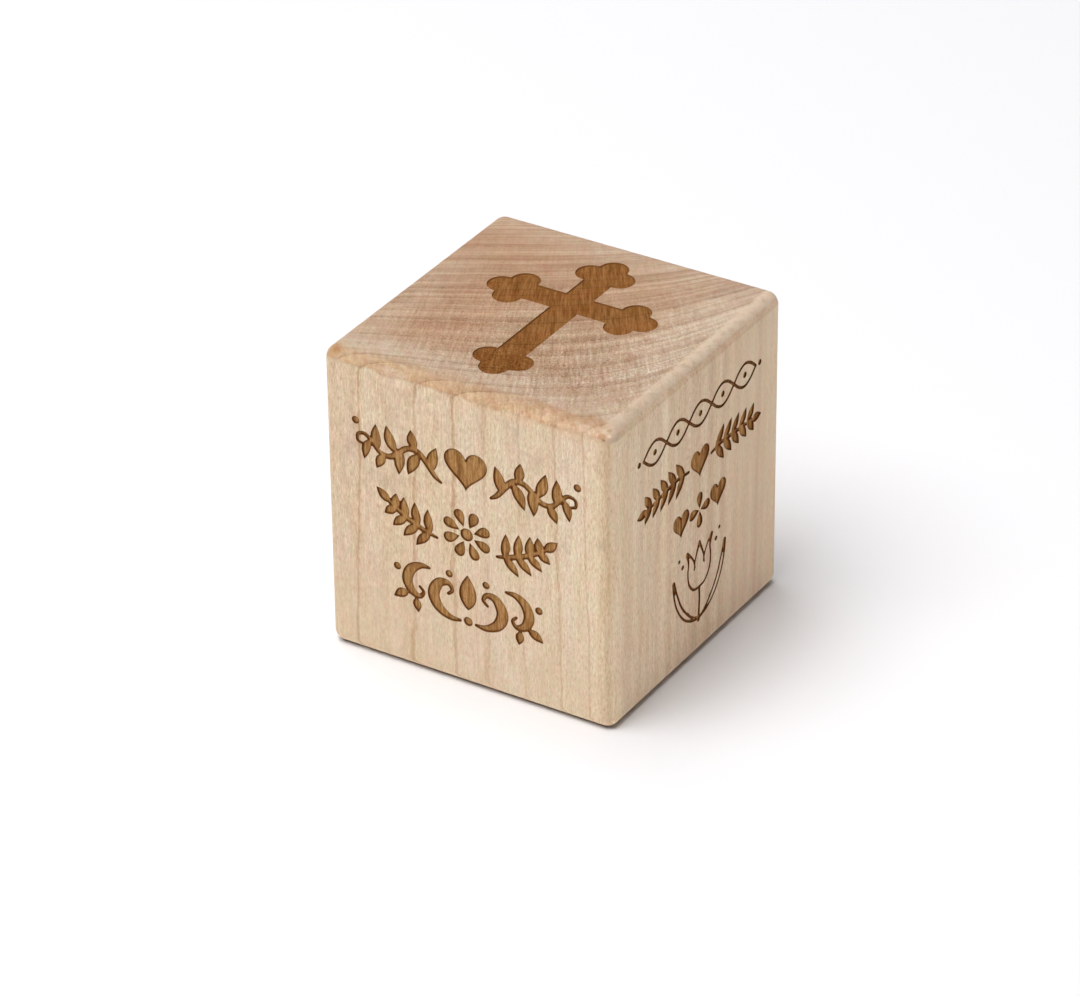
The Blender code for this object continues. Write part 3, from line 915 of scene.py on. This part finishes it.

    # light spots torn out along the front edge, and a chip at the near corner with a painted highlight
    # on it
    def spot(cx, cy, cz, rx, ry, rz):
        d = g.combine(g.mul(g.sub(x, cx), 1 / rx), g.mul(g.sub(y, cy), 1 / ry),
                      g.mul(g.sub(z, cz), 1 / rz))
        length = g.new('ShaderNodeVectorMath', operation='LENGTH')
        g.feed(length.inputs[0], d)
        return g.span(g.add(length.outputs['Value'], g.mul(g.sub(torn, .5), 1.6)), 1.1, .6)

    wood = g.mix(g.mul(spot(-12.2, -24.2, 49.7, 2.6, 1.2, .8), g.span(grit, .40, .60, 0, .75)),
                 wood, (.59, .47, .355, 1))
    wood = tint(spot(-22.5, -23.3, 50.2, 1.5, 1.2, .7), wood, (.89, .74, .63, 1))
    wood = g.mix(g.mul(spot(23.7, -23.7, 49.7, 1.5, 1.5, 1.2), .75), wood, (.62, .475, .340, 1))
    wood = g.mix(g.mul(spot(22.9, -24.4, 49.8, .75, .5, .50), .8), wood, (.47, .275, .145, 1))
    wood = g.mix(g.mul(spot(23.6, -23.4, 50.45, .45, .5, .22), .7), wood, (.43, .26, .15, 1))
    wood = g.mix(g.mul(spot(23.3, -24.55, 49.35, .28, .25, .20), .8), wood, (.34, .17, .065, 1))
    # a painted highlight on the chip
    wood = g.mix(g.mul(spot(23.95, -24.0, 49.9, .38, .38, .30), .8), wood, (.80, .62, .43, 1))

    # engraving, burnt brown: darker at its edges and in fine lines
    edge = g.new('ShaderNodeAttribute', attribute_name="edge_mm").outputs['Fac']
    on_top = g.span(nz, .5, .8)
    ragged = g.mul(g.sub(g.noise(g.scaled(pos, (2.4, 2.4, 2.4)), 1, 3.0), .5), .16)
    inside = g.span(edge, .03, -.002)
    deep = g.span(g.add(edge, ragged), g.lerp(on_top, .02, -.01), g.lerp(on_top, -.40, -.23))
    foot = g.span(g.sub(g.mul(g.sub(mottle, .5), 14.0), y), -2.0, 16.0, 0, .6)
    char = g.mix(g.span(rays, .36, .66), (.180, .072, .016, 1), (.262, .117, .038, 1))
    char = tint(g.span(fine_rays, .50, .72), char, (.70, .61, .53, 1))
    char = tint(g.span(fine_rays, .50, .28), char, (1.20, 1.25, 1.28, 1))
    char = tint(g.mul(g.span(speck, .50, .63), foot), char, (.44, .36, .30, 1))
    char = tint(g.mul(g.span(speck, .50, .38), foot), char, (1.45, 1.55, 1.6, 1))
    char = tint(foot, char, (.83, .75, .68, 1))
    char = tint(g.span(bands, .40, .62), char, (1.0, .93, .90, 1))
    char = tint(line, char, (.66, .58, .50, 1))
    char_side = g.mix(g.span(fibres, .36, .64), (.510, .290, .115, 1), (.330, .156, .044, 1))
    char_side = tint(g.span(grit, .45, .70), char_side, (.72, .62, .52, 1))
    char_side = tint(g.span(line, .3, 1.0), char_side, (.74, .66, .60, 1))
    char_side = tint(on_right, char_side, (1.0, .93, .84, 1))
    scorched = g.noise(g.scaled(pos, (1.7, 1.7, .16)), 1, 2.0, .55)
    uneven = g.lerp(on_right, .5, 1.0)
    char_side = tint(g.mul(g.span(scorched, .50, .62), uneven), char_side, (.60, .47, .36, 1))
    char_side = tint(g.mul(g.span(scorched, .50, .38), uneven), char_side, (1.22, 1.24, 1.25, 1))
    floor = g.mix(on_top, char_side, char)
    floor = tint(g.span(pores, .52, .75, 0, .5), floor, (.50, .42, .36, 1))
    # the walls of the cross are no darker than its floor
    wall = g.mul(g.span(z, 50.4, 50.5), g.span(nz, .5, .3))
    stain = g.mix(on_top, STAIN, STAIN_TOP)
    stain = g.mix(wall, stain, (.255, .112, .036, 1))
    burnt = g.mix(deep, stain, floor)
    scorch = g.span(edge, .14, .0)
    wood = tint(g.mul(scorch, .35), wood, (.72, .62, .50, 1))
    colour = g.mix(inside, wood, burnt)
    # a faint play between pink and green, and between yellow and grey
    colour = tint(g.span(hue, .45, .70), colour, (1.016, .978, 1.0, 1))
    colour = tint(g.span(hue, .55, .30), colour, (.984, 1.020, 1.0, 1))
    colour = tint(g.span(hue_wide, .50, .66), colour, (1.010, .984, .990, 1))
    colour = tint(g.span(hue_wide, .50, .34), colour, (.990, 1.014, 1.010, 1))
    colour = tint(g.span(blush, .45, .70), colour, (1.0, 1.0, .962, 1))
    colour = tint(g.span(blush, .55, .30), colour, (1.0, 1.0, 1.036, 1))
    g.feed(g.shader.inputs['Base Color'], colour)

    # sheen of the sanded surface
    rough = g.lerp(end, g.madd(fibres, .16, .46), g.madd(pores, .20, .58))
    rough = g.add(rough, g.mul(inside, .22))
    g.feed(g.shader.inputs['Roughness'], rough)
    g.shader.inputs['Specular IOR Level'].default_value = .08

    # relief of fibres, vessels and the burnt floor
    relief = g.lerp(end, g.add(g.mul(fibres, .6), g.mul(pores, .4)),
                    g.add(g.mul(speck, .9), g.mul(rays, .5)))
    relief = g.add(relief, g.mul(g.mul(inside, g.add(rays, pores)), 1.2))
    relief = g.sub(relief, g.mul(line, .25))
    bump = g.new('ShaderNodeBump')
    bump.inputs['Strength'].default_value = .35
    bump.inputs['Distance'].default_value = .00006
    g.feed(bump.inputs['Height'], relief)
    g.feed(g.shader.inputs['Normal'], bump.outputs[0])
    return g.owner


block.data.materials.append(maple())
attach(block, "root")
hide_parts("block")

# -------------------------------------------------------------- the studio
scene = bpy.context.scene
scene.view_settings.view_transform = 'Standard'

floor_mesh = bpy.data.meshes.new("studio_floor")
bm = bmesh.new()
bmesh.ops.create_grid(bm, x_segments=2, y_segments=2, size=6.0)
bm.to_mesh(floor_mesh)
bm.free()
floor = bpy.data.objects.new("studio_floor", floor_mesh)
floor.location.z = -.00001
scene.collection.objects.link(floor)
paper = Graph(bpy.data.materials.new("white_paper"))
paper.shader.inputs['Base Color'].default_value = (.822, .817, .832, 1)
paper.shader.inputs['Roughness'].default_value = 1.0
paper.shader.inputs['Specular IOR Level'].default_value = 0.0
floor_mesh.materials.append(paper.owner)

# Pale walls low down, a little brighter to the right, and a bright ceiling.
sky = Graph(bpy.data.worlds.new("soft_white"))
east, north, up = sky.split(sky.new('ShaderNodeTexCoord').outputs['Generated'])
walls = sky.mul(sky.span(up, .139, .276, 1.0, .02), sky.madd(east, .42, sky.madd(north, -.178, .827)))
ceiling = sky.span(up, .9135, .9613, 0, 3.40)
background = sky.tree.nodes["Background"]
background.inputs["Color"].default_value = (1, 1, 1, 1)
sky.feed(background.inputs["Strength"], sky.add(walls, ceiling))
scene.world = sky.owner


def softbox(name, position, target, size, power):
    light = bpy.data.lights.new(name, 'AREA')
    light.shape = 'DISK'
    light.size = size
    light.energy = power
    o = bpy.data.objects.new(name, light)
    o.location = position
    o.rotation_euler = (Vector(target) - Vector(position)).to_track_quat('-Z', 'Y').to_euler()
    scene.collection.objects.link(o)
    return o


def from_angle(azimuth, elevation, distance=1.2):
    a, e = math.radians(azimuth), math.radians(elevation)
    return (distance * math.cos(e) * math.cos(a), distance * math.cos(e) * math.sin(a),
            distance * math.sin(e))


softbox("front_softbox", from_angle(240, 65), (0, 0, 0), .90, 11.4)
softbox("left_softbox", from_angle(150, 65), (0, 0, 0), .60, 2.63)

# The camera stands where the photograph's outline of the block puts it.
camera_data = bpy.data.cameras.new("camera")
camera_data.lens = 172.72
camera_data.sensor_width = 36.0
camera_data.clip_start = .05
camera_data.clip_end = 50.0
camera = bpy.data.objects.new("camera", camera_data)
turn = Vector((2.0534, .5767, -.3371))
to_camera = Matrix.Rotation(turn.length, 3, turn.normalized())
axes = Matrix((to_camera[0], -to_camera[1], -to_camera[2])).transposed()
camera.matrix_world = Matrix.Translation((.35052, -.56625, .42236)) @ axes.to_4x4()
scene.collection.objects.link(camera)
scene.camera = camera
